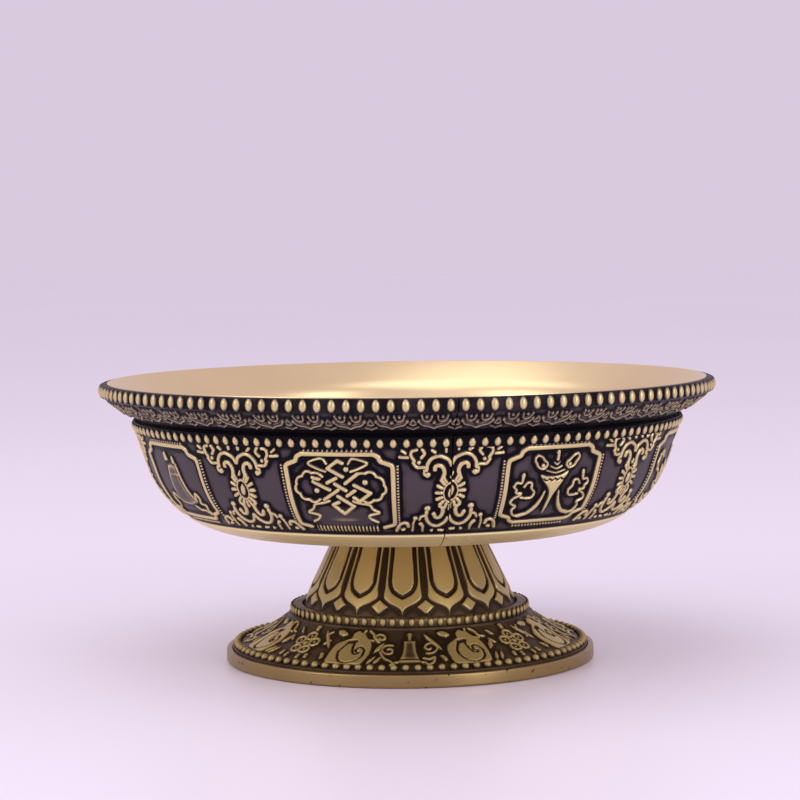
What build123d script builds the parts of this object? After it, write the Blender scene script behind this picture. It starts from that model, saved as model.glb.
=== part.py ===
# Footed brass offering bowl: a spun bowl dressed with two wrapped relief strips, on a lotus foot.
# Millimetres, +Z up, origin at the middle of the base ring's underside, front panel toward -Y.
import os
from math import cos, radians, sin, tan

from build123d import *

os.makedirs("parts", exist_ok=True)

# Overall sizes
total_height = 55.0
foot_height = 27.0
lip_radius = 58.2
foot_radius = 36.0

# Bowl section, angles in degrees
belly_radius = 17.9
wall_slope = 18.9
flange_slope = 38.0
flange_width = 5.1
liner_thickness = 1.2
edge_bevel = 0.3

# Rim strip
rim_strip_thickness = 1.7
rim_wall = 1.1
rim_step = 0.3
rim_gap = 1.3
rim_bead_count = 144
rim_bead_width = 1.7
rim_bead_height = 2.5
rim_bead_rise = 0.7

# Wall strip
ground_thickness = 0.85
relief_height = 0.45
groove_width = 1.7
border_start = 33.5
border_end = 11.0
wall_bead_count = 144
wall_bead_width = 1.4
wall_bead_height = 1.9
wall_bead_rise = 0.45
bead_land_rise = 0.1
bead_margin = 0.2
panel_count = 8
frame_width = 20.2
frame_margin = 0.4
frame_line = 1.1
frame_notch = 1.5
seam_width = 0.2
seam_angle = 21.3

# Lotus pedestal
pedestal_top_radius = 12.66
pedestal_foot_radius = 21.0
pedestal_wall = 1.6
web_thickness = 2.0
petal_count = 14
petal_angle = 8.75
petal_rise = 0.5
petal_groove_depth = 0.3
petal_top_width = 5.0
petal_width = 7.1
petal_swell = 4.6
petal_tip = 2.2
tongue_width = 4.6
tongue_tip = 5.6
tongue_groove = 0.5

# Base skirt and ring
ring_height = 2.5
ring_wall = 1.1
ring_width = 4.4
rabbet_depth = 0.8
ledge_height = 9.6
skirt_wall = 1.5
skirt_edge = 1.1
skirt_dip = 0.5
edge_slope_width = 1.9
edge_slope_rise = 0.7
collar_width = 2.5
collar_rise = 1.3
collar_drop = 0.3
fillet_rise = 0.4
fillet_step = 0.1
ledge_width = 3.5
dentil_count = 80
dentil_notch = 0.8
dentil_depth = 0.45

# Fastening
stud_radius = 2.5
disc_radius = 7.0
disc_thickness = 1.2
washer_radius = 5.5
washer_thickness = 1.0
nut_across_flats = 8.0
nut_height = 4.0
stud_end = 1.5

# Clearances
slip_clearance = 0.1
bolt_clearance = 0.25
embed = 0.25

# Section of the bowl: the flange leads in from the lip to the shoulder, the wall down to the belly
slope_cos = cos(radians(wall_slope))
slope_sin = sin(radians(wall_slope))
flange_cos = cos(radians(flange_slope))
flange_tan = tan(radians(flange_slope))
lip_land = liner_thickness / flange_cos
shoulder_radius = lip_radius - flange_width
shoulder_height = total_height - lip_land - flange_width * flange_tan
wall_foot_height = foot_height + belly_radius * (1 - slope_sin)
wall_length = (shoulder_height - wall_foot_height) / slope_cos
floor_radius = shoulder_radius - wall_length * slope_sin - belly_radius * slope_cos
belly_centre = (floor_radius, foot_height + belly_radius)
wall_rise = wall_length - groove_width


# Points of that section at a distance outside the spun sheet's outer face
def on_belly(angle, outside):
    reach = belly_radius + outside
    across = belly_centre[0] + reach * sin(radians(angle))
    return (across, belly_centre[1] - reach * cos(radians(angle)))


def on_wall(rise, outside):
    foot = on_belly(90 - wall_slope, outside)
    return (foot[0] + rise * slope_sin, foot[1] + rise * slope_cos)


def on_flange(radius, outside):
    edge = total_height - lip_land - outside / flange_cos
    return (radius, edge - (lip_radius - radius) * flange_tan)


def shoulder(outside):
    foot = on_wall(0, outside)
    over = on_flange(foot[0], outside)[1] - foot[1]
    rise = over / (slope_cos - slope_sin * flange_tan)
    return on_wall(rise, outside)


# Spun bowl: one sheet from the flat floor through the belly and wall to the flared lip
inner = -liner_thickness
with BuildPart() as bowl_liner:
    with BuildSketch(Plane.XZ):
        with BuildLine():
            Line((0, foot_height), on_belly(0, 0))
            CenterArc(belly_centre, belly_radius, -90, 90 - wall_slope)
            outer_bend = shoulder(0)
            Line(on_wall(0, 0), outer_bend)
            lip_under = on_flange(lip_radius, 0)
            Line(outer_bend, lip_under)
            lip_top = on_flange(lip_radius, inner)
            Line(lip_under, lip_top)
            inner_bend = shoulder(inner)
            Line(lip_top, inner_bend)
            Line(inner_bend, on_wall(0, inner))
            CenterArc(belly_centre, belly_radius + inner, -wall_slope, wall_slope - 90)
            Line(on_belly(0, inner), (0, foot_height - inner))
            Line((0, foot_height - inner), (0, foot_height))
        make_face()
    revolve(axis=Axis.Z)
bowl_liner.part.label = "bowl_liner"
export_step(bowl_liner.part, "parts/bowl_liner.step")

# Rim bead: six-sided drop that stands on the strip's upright edge
rim_band_radius = lip_radius + rim_wall
rim_band_top = total_height - rim_step
rim_band_foot = on_flange(rim_band_radius, rim_strip_thickness)[1]
rim_bead_mid = (rim_band_top + rim_band_foot) / 2
bead_plane = Plane((rim_band_radius - embed, 0, rim_bead_mid), x_dir=(0, 1, 0), z_dir=(1, 0, 0))
with BuildSketch(bead_plane) as rim_bead_foot:
    Polygon(
        (0, rim_bead_height / 2),
        (rim_bead_width / 2, rim_bead_height / 4),
        (rim_bead_width / 2, -rim_bead_height / 4),
        (0, -rim_bead_height / 2),
        (-rim_bead_width / 2, -rim_bead_height / 4),
        (-rim_bead_width / 2, rim_bead_height / 4),
    )
with BuildPart() as rim_bead:
    loft([rim_bead_foot.sketch, Vertex(rim_band_radius + rim_bead_rise, 0, rim_bead_mid)], ruled=True)

# Rim strip: border that lies under the flange and an upright edge with one flat for each bead
rim_cut_radius = shoulder_radius + rim_gap
rim_band_core = rim_band_radius - embed
with BuildPart() as rim_strip:
    with BuildSketch(Plane.XZ):
        Polygon(
            on_flange(rim_cut_radius, rim_strip_thickness),
            on_flange(rim_band_core, rim_strip_thickness),
            (rim_band_core, rim_band_top - embed),
            (lip_radius, rim_band_top - embed),
            on_flange(lip_radius, 0),
            on_flange(rim_cut_radius, 0),
            align=None,
        )
    revolve(axis=Axis.Z)
    with BuildSketch(Plane.XY.offset(rim_band_foot)):
        RegularPolygon(rim_band_radius, rim_bead_count, major_radius=False, rotation=180 / rim_bead_count)
        Circle(lip_radius, mode=Mode.SUBTRACT)
    extrude(amount=rim_band_top - rim_band_foot)
    with PolarLocations(0, rim_bead_count):
        add(rim_bead.part)
    with BuildSketch(Plane.XY):
        with Locations(Rotation(0, 0, seam_angle - 90)):
            Rectangle(2 * total_height, seam_width, align=(Align.MIN, Align.CENTER))
    extrude(amount=2 * total_height, mode=Mode.SUBTRACT)
rim_strip.part.label = "rim_strip"
export_step(rim_strip.part, "parts/rim_strip.step")

# Wall bead: four-sided drop just under the strip's top edge
relief_top = ground_thickness + relief_height
bead_land = ground_thickness + bead_land_rise
bead_land_height = wall_bead_height + 2 * bead_margin
wall_bead_mid = wall_rise - bead_land_height / 2
bead_seat = on_wall(wall_bead_mid, ground_thickness)
bead_peak = on_wall(wall_bead_mid, bead_land + wall_bead_rise)
bead_plane = Plane((bead_seat[0], 0, bead_seat[1]), x_dir=(0, 1, 0), z_dir=(slope_cos, 0, -slope_sin))
with BuildSketch(bead_plane) as wall_bead_foot:
    Polygon(
        (0, wall_bead_height / 2),
        (wall_bead_width / 2, 0),
        (0, -wall_bead_height / 2),
        (-wall_bead_width / 2, 0),
        align=None,
    )
with BuildPart() as wall_bead:
    loft([wall_bead_foot.sketch, Vertex(bead_peak[0], 0, bead_peak[1])], ruled=True)

# Bead land: faceted band on the sloping wall, one flat for each bead
with BuildPart() as bead_band:
    for rise in (wall_rise - bead_land_height, wall_rise):
        land = on_wall(rise, bead_land)
        with BuildSketch(Plane.XY.offset(land[1])):
            RegularPolygon(land[0], wall_bead_count, major_radius=False, rotation=180 / wall_bead_count)
    loft(ruled=True)
    with BuildSketch(Plane.XZ):
        Polygon(
            (0, on_wall(0, 0)[1]),
            on_wall(0, ground_thickness / 2),
            on_wall(2 * wall_rise, ground_thickness / 2),
            (0, on_wall(2 * wall_rise, 0)[1]),
            align=None,
        )
    revolve(axis=Axis.Z, mode=Mode.SUBTRACT)

# Panel frame: notched square border cut out of a raised band that follows the wall
panel_rise = wall_rise - bead_land_height
panel_low = on_belly(border_start, relief_top)
panel_high = on_wall(panel_rise, relief_top)
panel_mid = ((panel_low[0] + panel_high[0]) / 2, (panel_low[1] + panel_high[1]) / 2)
panel_run = (panel_high[0] - panel_low[0], panel_high[1] - panel_low[1])
frame_height = (panel_run[0] ** 2 + panel_run[1] ** 2) ** 0.5 - 2 * frame_margin
panel_plane = Plane(
    (0, -panel_mid[0], panel_mid[1]), x_dir=(1, 0, 0), z_dir=(0, -panel_run[1], -panel_run[0])
)
with BuildSketch() as frame_opening:
    Rectangle(frame_width - 2 * frame_line, frame_height - 2 * frame_line)
    with GridLocations(frame_width, frame_height, 2, 2):
        Rectangle(2 * (frame_notch + frame_line), 2 * (frame_notch + frame_line), mode=Mode.SUBTRACT)
with BuildPart() as panel_frame:
    with BuildSketch(Plane.XZ):
        with BuildLine():
            low = ground_thickness - embed
            CenterArc(belly_centre, belly_radius + low, border_start - 90, 90 - border_start - wall_slope)
            Line(on_wall(0, low), on_wall(panel_rise, low))
            Line(on_wall(panel_rise, low), panel_high)
            Line(panel_high, on_wall(0, relief_top))
            CenterArc(belly_centre, belly_radius + relief_top, -wall_slope, border_start + wall_slope - 90)
            Line(panel_low, on_belly(border_start, low))
        make_face()
    revolve(axis=Axis.Z)
    with BuildSketch(panel_plane):
        Rectangle(frame_width, frame_height)
        with GridLocations(frame_width, frame_height, 2, 2):
            Rectangle(2 * frame_notch, 2 * frame_notch, mode=Mode.SUBTRACT)
        add(frame_opening.sketch, mode=Mode.SUBTRACT)
    extrude(amount=frame_height / 2, both=True, mode=Mode.INTERSECT)

# Wall strip: thin ground with bead row, eight panel frames and a plain full-height bottom border
with BuildPart() as wall_strip:
    with BuildSketch(Plane.XZ):
        with BuildLine():
            Line(on_wall(wall_rise, 0), on_wall(0, 0))
            CenterArc(belly_centre, belly_radius, -wall_slope, wall_slope + border_end - 90)
            Line(on_belly(border_end, 0), on_belly(border_end, relief_top))
            CenterArc(belly_centre, belly_radius + relief_top, border_end - 90, border_start - border_end)
            Line(panel_low, on_belly(border_start, ground_thickness))
            ground_arc = belly_radius + ground_thickness
            CenterArc(belly_centre, ground_arc, border_start - 90, 90 - border_start - wall_slope)
            Line(on_wall(0, ground_thickness), on_wall(wall_rise, ground_thickness))
            Line(on_wall(wall_rise, ground_thickness), on_wall(wall_rise, 0))
        make_face()
    revolve(axis=Axis.Z)
    add(bead_band.part)
    with PolarLocations(0, wall_bead_count):
        add(wall_bead.part)
    with PolarLocations(0, panel_count, start_angle=seam_angle + 180 / panel_count):
        add(panel_frame.part)
    with BuildSketch(Plane.XY):
        with Locations(Rotation(0, 0, seam_angle - 90)):
            Rectangle(2 * total_height, seam_width, align=(Align.MIN, Align.CENTER))
    extrude(amount=2 * total_height, mode=Mode.SUBTRACT)
wall_strip.part.label = "wall_strip"
export_step(wall_strip.part, "parts/wall_strip.step")

# Cone section of the pedestal at a distance outside its plain face
cone_drop = foot_height - ledge_height
cone_spread = pedestal_foot_radius - pedestal_top_radius
cone_run = (cone_drop**2 + cone_spread**2) ** 0.5
cone_cos = cone_drop / cone_run
cone_sin = cone_spread / cone_run


def on_cone(height, outside):
    spread = (foot_height - height) * cone_spread / cone_drop
    return (pedestal_top_radius + spread + outside / cone_cos, height)


cone_foot = on_cone(ledge_height, 0)
petal_plane = Plane((0, -cone_foot[0], ledge_height), x_dir=(1, 0, 0), z_dir=(0, -cone_cos, cone_sin))

# Lotus petal: hanging leaf with a pointed tip, cut out of a raised cone
with BuildPart() as petal:
    with BuildSketch(Plane.XZ):
        Polygon(
            on_cone(ledge_height + embed, -embed),
            on_cone(ledge_height + embed, petal_rise),
            on_cone(foot_height, petal_rise),
            on_cone(foot_height, -embed),
            align=None,
        )
    revolve(axis=Axis.Z)
    with BuildSketch(petal_plane):
        with BuildLine():
            top = cone_run + embed
            Line((-petal_top_width / 2, top), (petal_top_width / 2, top))
            shoulder_y = petal_tip + petal_swell
            Line((petal_top_width / 2, top), (petal_width / 2, shoulder_y))
            TangentArc((petal_width / 2, shoulder_y), (0, petal_tip), tangent=(0, -1))
            TangentArc((-petal_width / 2, shoulder_y), (0, petal_tip), tangent=(0, -1))
            Line((-petal_width / 2, shoulder_y), (-petal_top_width / 2, top))
        make_face()
    extrude(amount=pedestal_foot_radius / 2, both=True, mode=Mode.INTERSECT)

# Groove round the petal's tongue, as the solid that is cut away
with BuildPart() as petal_groove:
    with BuildSketch(Plane.XZ):
        Polygon(
            on_cone(ledge_height + embed, petal_rise - petal_groove_depth),
            on_cone(ledge_height + embed, petal_rise + embed),
            on_cone(foot_height + embed, petal_rise + embed),
            on_cone(foot_height + embed, petal_rise - petal_groove_depth),
            align=None,
        )
    revolve(axis=Axis.Z)
    with BuildSketch(petal_plane):
        for width, tip, mode in (
            (tongue_width, tongue_tip - tongue_groove, Mode.ADD),
            (tongue_width - 2 * tongue_groove, tongue_tip, Mode.SUBTRACT),
        ):
            with BuildLine(mode=Mode.PRIVATE) as tongue:
                bend = tongue_tip + tongue_width / 2
                Line((-width / 2, cone_run + 2 * embed), (width / 2, cone_run + 2 * embed))
                Line((width / 2, cone_run + 2 * embed), (width / 2, bend))
                Line((width / 2, bend), (0, tip))
                Line((0, tip), (-width / 2, bend))
                Line((-width / 2, bend), (-width / 2, cone_run + 2 * embed))
            make_face(tongue.edges(), mode=mode)
    extrude(amount=pedestal_foot_radius / 2, both=True, mode=Mode.INTERSECT)

# Lotus pedestal: hollow cone closed by a web under the bowl, with a recess for the stud's disc
web_top = foot_height - disc_thickness
web_under = web_top - web_thickness
wall_across = pedestal_wall / cone_cos
with BuildPart() as lotus_pedestal:
    with BuildSketch(Plane.XZ):
        Polygon(
            (stud_radius + bolt_clearance, web_under),
            (on_cone(web_under, 0)[0] - wall_across, web_under),
            (on_cone(ledge_height, 0)[0] - wall_across, ledge_height),
            on_cone(ledge_height, 0),
            on_cone(foot_height, 0),
            (disc_radius + slip_clearance, foot_height),
            (disc_radius + slip_clearance, web_top),
            (stud_radius + bolt_clearance, web_top),
            align=None,
        )
    revolve(axis=Axis.Z)
    with PolarLocations(0, petal_count, start_angle=petal_angle):
        add(petal.part)
    with PolarLocations(0, petal_count, start_angle=petal_angle):
        add(petal_groove.part, mode=Mode.SUBTRACT)
lotus_pedestal.part.label = "lotus_pedestal"
export_step(lotus_pedestal.part, "parts/lotus_pedestal.step")

# Base skirt: concave flare from the notched collar down to the sloping edge
collar_radius = pedestal_foot_radius + collar_width
ledge_radius = pedestal_foot_radius - ledge_width
skirt_radius = foot_radius - ring_wall - slip_clearance
skirt_under = ring_height - rabbet_depth
skirt_edge_top = skirt_under + skirt_edge
flare_radius = skirt_radius - edge_slope_width
flare_level = skirt_edge_top + edge_slope_rise
ledge_under = ledge_height - skirt_wall
collar_inner = pedestal_foot_radius + slip_clearance
collar_top = ledge_height + collar_rise
collar_foot = ledge_height - collar_drop
flare_top = (collar_radius + fillet_step, collar_foot - fillet_rise)
flare_foot = (flare_radius, flare_level)
hollow_top = (collar_radius - skirt_wall, ledge_under)
hollow_foot = (flare_radius - skirt_wall, skirt_under)
with BuildPart() as base_skirt:
    with BuildSketch(Plane.XZ):
        with BuildLine():
            Polyline(
                flare_foot,
                (skirt_radius, skirt_edge_top),
                (skirt_radius, skirt_under),
                hollow_foot,
            )
            SagittaArc(hollow_foot, hollow_top, skirt_dip)
            Polyline(
                hollow_top,
                (ledge_radius, ledge_under),
                (ledge_radius, ledge_height),
                (collar_inner, ledge_height),
                (collar_inner, collar_top),
                (collar_radius, collar_top),
                (collar_radius, collar_foot),
                (collar_radius + fillet_step, collar_foot),
                flare_top,
            )
            SagittaArc(flare_top, flare_foot, -skirt_dip)
        make_face()
    revolve(axis=Axis.Z)
    with PolarLocations(collar_radius, dentil_count):
        with Locations((0, 0, collar_foot)):
            Box(
                2 * dentil_depth,
                dentil_notch,
                collar_rise + collar_drop,
                align=(Align.CENTER, Align.CENTER, Align.MIN),
                mode=Mode.SUBTRACT,
            )
base_skirt.part.label = "base_skirt"
export_step(base_skirt.part, "parts/base_skirt.step")

# Base ring: turned ring with a rabbet that locates the skirt's edge
ring_inner_radius = foot_radius - ring_width
with BuildPart() as base_ring:
    with BuildSketch(Plane.XZ):
        Polygon(
            (ring_inner_radius, 0),
            (foot_radius, 0),
            (foot_radius, ring_height),
            (foot_radius - ring_wall, ring_height),
            (foot_radius - ring_wall, skirt_under),
            (ring_inner_radius, skirt_under),
            align=None,
        )
    revolve(axis=Axis.Z)
    outer_edges = [e for e in base_ring.edges().filter_by(GeomType.CIRCLE) if e.radius > foot_radius - embed]
    chamfer(outer_edges, edge_bevel)
base_ring.part.label = "base_ring"
export_step(base_ring.part, "parts/base_ring.step")

# Stud: threaded rod with a disc that is brazed under the bowl
washer_under = web_under - washer_thickness
nut_under = washer_under - nut_height
with BuildPart() as foot_stud:
    with Locations((0, 0, foot_height)):
        Cylinder(disc_radius, disc_thickness, align=(Align.CENTER, Align.CENTER, Align.MAX))
    with Locations((0, 0, nut_under - stud_end)):
        stud_length = web_top - nut_under + stud_end
        Cylinder(stud_radius, stud_length, align=(Align.CENTER, Align.CENTER, Align.MIN))
    chamfer(foot_stud.faces().sort_by(Axis.Z)[0].edges(), edge_bevel)
foot_stud.part.label = "foot_stud"
export_step(foot_stud.part, "parts/foot_stud.step")

# Washer between the web and the nut
with BuildPart() as washer:
    with BuildSketch(Plane.XY.offset(washer_under)):
        Circle(washer_radius)
        Circle(stud_radius + bolt_clearance, mode=Mode.SUBTRACT)
    extrude(amount=washer_thickness)
washer.part.label = "washer"
export_step(washer.part, "parts/washer.step")

# Hexagon nut on the stud
with BuildPart() as nut:
    with BuildSketch(Plane.XY.offset(nut_under)):
        RegularPolygon(nut_across_flats / 2, 6, major_radius=False)
        Circle(stud_radius, mode=Mode.SUBTRACT)
    extrude(amount=nut_height)
nut.part.label = "nut"
export_step(nut.part, "parts/nut.step")
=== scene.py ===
# Footed brass offering bowl: a spun bowl with two soldered relief strips, on a hollow lotus foot.
# The scene is in metres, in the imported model's frame. The sizes of pieces are written in millimetres.
from math import atan2, cos, pi, radians, sin, tan

import bmesh
import bpy
import numpy as np
from mathutils import Matrix


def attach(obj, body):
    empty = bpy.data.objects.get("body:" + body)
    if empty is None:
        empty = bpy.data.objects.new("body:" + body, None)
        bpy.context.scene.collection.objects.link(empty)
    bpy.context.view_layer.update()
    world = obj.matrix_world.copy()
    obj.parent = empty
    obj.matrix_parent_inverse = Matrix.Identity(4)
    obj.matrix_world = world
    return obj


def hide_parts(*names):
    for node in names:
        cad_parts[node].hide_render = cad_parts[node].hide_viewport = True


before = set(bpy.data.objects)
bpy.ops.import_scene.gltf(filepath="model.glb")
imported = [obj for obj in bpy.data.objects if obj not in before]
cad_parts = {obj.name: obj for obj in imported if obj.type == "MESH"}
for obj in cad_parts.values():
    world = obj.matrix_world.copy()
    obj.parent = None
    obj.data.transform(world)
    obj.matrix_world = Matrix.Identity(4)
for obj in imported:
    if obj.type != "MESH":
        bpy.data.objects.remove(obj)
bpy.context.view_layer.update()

# Spun bowl
# One brass sheet spun over a former: flat floor, round belly, sloping wall and flared lip.
# It is brushed on the lathe, so fine rings run round it, and every other piece is soldered to it.
millimetre = 0.001
total_height = 55.0
foot_height = 27.0
lip_radius = 58.2
belly_radius = 17.9
wall_slope = radians(18.9)
flange_slope = radians(38.0)
flange_width = 5.1
sheet = 1.2
shoulder_ease = 1.6

lip_land = sheet / cos(flange_slope)
shoulder_radius = lip_radius - flange_width
shoulder_height = total_height - lip_land - flange_width * tan(flange_slope)
wall_foot_height = foot_height + belly_radius * (1 - sin(wall_slope))
wall_length = (shoulder_height - wall_foot_height) / cos(wall_slope)
floor_radius = shoulder_radius - wall_length * sin(wall_slope) - belly_radius * cos(wall_slope)
belly_height = foot_height + belly_radius
wall_angle = pi / 2 - wall_slope


# Points of the bowl's section at a distance outside the sheet: on its belly, wall, flange and shoulder
def on_belly(angle, outside):
    reach = belly_radius + outside
    return np.array((floor_radius + reach * np.sin(angle), belly_height - reach * np.cos(angle)))


def on_wall(rise, outside):
    foot = on_belly(wall_angle, outside)
    return np.array((foot[0] + rise * sin(wall_slope), foot[1] + rise * cos(wall_slope)))


def on_flange(radius, outside):
    edge = total_height - lip_land - outside / cos(flange_slope)
    return np.array((radius, edge - (lip_radius - radius) * tan(flange_slope)))


def shoulder(outside):
    foot = on_wall(0, outside)
    over = on_flange(foot[0], outside)[1] - foot[1]
    return on_wall(over / (cos(wall_slope) - sin(wall_slope) * tan(flange_slope)), outside)


# A section line with its corners eased: each point is (radius, height, ease)
def eased(corners, steps=6):
    points = [np.array(p[:2], float) for p in corners]
    line = []
    for i, corner in enumerate(corners):
        ease = corner[2]
        if not ease:
            line.append(points[i])
            continue
        before, after = points[i - 1] - points[i], points[(i + 1) % len(points)] - points[i]
        a = points[i] + before / np.linalg.norm(before) * ease
        b = points[i] + after / np.linalg.norm(after) * ease
        for t in np.linspace(0, 1, steps):
            line.append((1 - t) ** 2 * a + 2 * t * (1 - t) * points[i] + t * t * b)
    return np.array(line)


# A mesh object from points in millimetres and its faces
def piece_from(name, points, faces):
    mesh = bpy.data.meshes.new(name)
    mesh.from_pydata((np.asarray(points) * millimetre).tolist(), [], faces)
    mesh.shade_smooth()
    piece = bpy.data.objects.new(name, mesh)
    bpy.context.scene.collection.objects.link(piece)
    return piece


# Points round the axis, from radii and heights by row and turns by column
def bent(radius, height, turn):
    points = np.stack((radius * np.sin(turn), -radius * np.cos(turn), height + 0 * turn), axis=-1)
    return points.reshape(-1, 3)


# Four-sided faces between the rows and columns of a grid, either of which may close on itself
def grid_faces(rows, columns, rows_close, columns_close):
    row = np.arange(rows if rows_close else rows - 1)[:, None]
    column = np.arange(columns if columns_close else columns - 1)
    above, beside = (row + 1) % rows, (column + 1) % columns
    corners = ((row, column), (row, beside), (above, beside), (above, column))
    return np.stack([a * columns + b for a, b in corners], axis=-1).reshape(-1, 4).tolist()


# A turned piece: the section line goes once round the axis, and a line that returns closes on itself
def turned(name, section, loop=False, steps=288, crease=40):
    turn = np.linspace(0, 2 * pi, steps, endpoint=False)
    points = bent(section[:, :1], section[:, 1:], turn)
    piece = piece_from(name, points, grid_faces(len(section), steps, loop, True))
    work = bmesh.new()
    work.from_mesh(piece.data)
    bmesh.ops.remove_doubles(work, verts=work.verts, dist=1e-6)
    bmesh.ops.dissolve_degenerate(work, edges=work.edges, dist=1e-7)
    bmesh.ops.recalc_face_normals(work, faces=work.faces)
    work.to_mesh(piece.data)
    work.free()
    piece.data.set_sharp_from_angle(angle=radians(crease))
    return piece


belly_turn = np.linspace(0, wall_angle, 40)
inner_bend, outer_bend = shoulder(-sheet), shoulder(0)
lip_top, lip_under = on_flange(lip_radius, -sheet), on_flange(lip_radius, 0)
inside = on_belly(belly_turn, -sheet).T
outside = on_belly(belly_turn[::-1], 0).T
upper = eased(
    [
        (*inside[-1], 0),
        (*inner_bend, shoulder_ease),
        (*lip_top, 0.25),
        (*lip_under, 0.3),
        (*outer_bend, shoulder_ease),
        (*outside[0], 0),
    ]
)
bowl_section = np.vstack(
    (
        [(0, foot_height + sheet)],
        [(r, foot_height + sheet) for r in np.linspace(4, floor_radius - 2, 8)],
        inside[:-1],
        upper,
        outside[1:],
        [(0, foot_height)],
    )
)
bowl = turned("spun_bowl", bowl_section)


# Inputs of a node: each takes a value, another node's output, or the first output in use of a node
def feed(tree, node, inputs):
    for name, value in inputs.items():
        if isinstance(value, bpy.types.Node):
            value = next(socket for socket in value.outputs if socket.enabled)
        if isinstance(value, bpy.types.NodeSocket):
            tree.links.new(value, node.inputs[name])
        else:
            node.inputs[name].default_value = value


# A new node with its settings and inputs
def add_node(tree, kind, inputs=None, **settings):
    node = tree.nodes.new(kind)
    for name, value in settings.items():
        setattr(node, name, value)
    feed(tree, node, inputs or {})
    return node


# A node group with named inputs and outputs
def new_group(name, inputs, outputs, kind="ShaderNodeTree"):
    tree = bpy.data.node_groups.new(name, kind)
    for direction, sockets in (("INPUT", inputs), ("OUTPUT", outputs)):
        for label, socket in sockets.items():
            tree.interface.new_socket(label, in_out=direction, socket_type="NodeSocket" + socket)
    return tree, add_node(tree, "NodeGroupInput").outputs, add_node(tree, "NodeGroupOutput")


# A new material, with its node tree and its shader
def new_material(name):
    material = bpy.data.materials.new(name)
    material.use_nodes = True
    return material, material.node_tree, material.node_tree.nodes["Principled BSDF"]


# Lathe lines: fine rings round the axis, from the distance to it and the height
lathe_lines, given, out = new_group(
    "lathe lines", {"Rings per metre": "Float", "Waver": "Float"}, {"Lines": "Float", "Tone": "Float"}
)
place = add_node(lathe_lines, "ShaderNodeTexCoord").outputs["Object"]
split = add_node(lathe_lines, "ShaderNodeSeparateXYZ", {0: place}).outputs
flat = add_node(lathe_lines, "ShaderNodeCombineXYZ", {"X": split["X"], "Y": split["Y"]})
across = add_node(lathe_lines, "ShaderNodeVectorMath", {0: flat}, operation="LENGTH")
along = add_node(lathe_lines, "ShaderNodeMath", {0: across, 1: split["Z"]}, operation="ADD")
counted = {0: along, 1: given["Rings per metre"]}
rings = add_node(lathe_lines, "ShaderNodeMath", counted, operation="MULTIPLY")
streaks = {"W": rings, "Scale": 1.0, "Detail": 3.0}
fine = add_node(lathe_lines, "ShaderNodeTexNoise", streaks, noise_dimensions="1D")
cloud = add_node(lathe_lines, "ShaderNodeTexNoise", {"Vector": place, "Scale": 60.0, "Detail": 3.0})
mixed = {"Factor": given["Waver"], "A": fine, "B": cloud}
tone = add_node(lathe_lines, "ShaderNodeMix", mixed, data_type="FLOAT")
feed(lathe_lines, out, {"Lines": fine, "Tone": tone})


# A satin brass that has been turned and brushed, with colours from bare metal to slight tarnish
def turned_brass(name, bright, tarnished, rough, rings_per_metre, depth):
    material, tree, shader = new_material(name)
    turning = {"Rings per metre": rings_per_metre, "Waver": 0.55}
    lines = add_node(tree, "ShaderNodeGroup", turning, node_tree=lathe_lines).outputs
    colours = {"Factor": lines["Tone"], "A": (*tarnished, 1), "B": (*bright, 1)}
    tint = add_node(tree, "ShaderNodeMix", colours, data_type="RGBA")
    spread = {"Value": lines["Tone"], "To Min": rough - 0.06, "To Max": rough + 0.08}
    sheen = add_node(tree, "ShaderNodeMapRange", spread)
    cut_in = {"Height": lines["Lines"], "Strength": 0.25, "Distance": depth}
    bump = add_node(tree, "ShaderNodeBump", cut_in)
    feed(tree, shader, {"Base Color": tint, "Roughness": sheen, "Normal": bump, "Metallic": 1.0})
    return material


bowl_satin = turned_brass(
    "satin spun brass",
    bright=(0.92, 0.77, 0.44),
    tarnished=(0.80, 0.63, 0.32),
    rough=0.30,
    rings_per_metre=3000.0,
    depth=0.00002,
)
bowl.data.materials.append(bowl_satin)
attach(bowl, "root")
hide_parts("bowl_liner")

# Wall strip
# A strip of thin brass with cast relief, wrapped round the wall and belly and soldered there.
# It carries eight framed symbols with a scroll cross between them, a bead row above and a plain
# polished border below, coloured lighter as painted light from the pale floor. Its two ends meet
# right of the front panel and don't quite line up.
ground = 0.85
relief_rise = 0.45
relief_top = ground + relief_rise
groove_width = 1.7
border_start = radians(33.5)
border_end = radians(11.0)
bead_count = 144
bead_land = 2.3
panel_count = 8
seam_angle = radians(21.3)
seam_gap = 0.2
seam_step = 0.45
frame_radius = 51.0
tick_reach = 6.4
tick_pitch = 0.74
dot_pitch = 0.85
row_pitch = 0.14
strip_columns = 282
bead_land_rise = 0.22
# The border's wear is its own polish, and it is set high to take the lightened border colours, which are
# painted light from the pale floor the border faces.
border_polish_and_floor_light = 0.95
strip_back_wear = 0.3
rub_top, rub_foot, rub_reach, rub_wear = -1.0, -7.0, 5.4, 0.42
pit_seed, pit_rarity, pit_reach = 5, 0.88, 0.4
strip_rise = wall_length - groove_width
belly_run = (belly_radius + relief_top) * (wall_angle - border_start)
border_run = (belly_radius + relief_top) * (border_start - border_end)
panel_top = belly_run + strip_rise - bead_land
strip_top = belly_run + strip_rise
panel_mid = panel_top / 2


# A value held between 0 and 1
def held(value):
    return np.clip(value, 0, 1)


# Distance from points to a line of straight runs, and whether points lie in a closed outline
def distance_to(px, py, path):
    a, step = path[:-1], np.diff(path, axis=0)
    size = np.maximum((step**2).sum(1), 1e-12)
    t = ((px[:, None] - a[:, 0]) * step[:, 0] + (py[:, None] - a[:, 1]) * step[:, 1]) / size
    t = held(t)
    dx = px[:, None] - a[:, 0] - t * step[:, 0]
    dy = py[:, None] - a[:, 1] - t * step[:, 1]
    return np.sqrt((dx**2 + dy**2).min(1))


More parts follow.
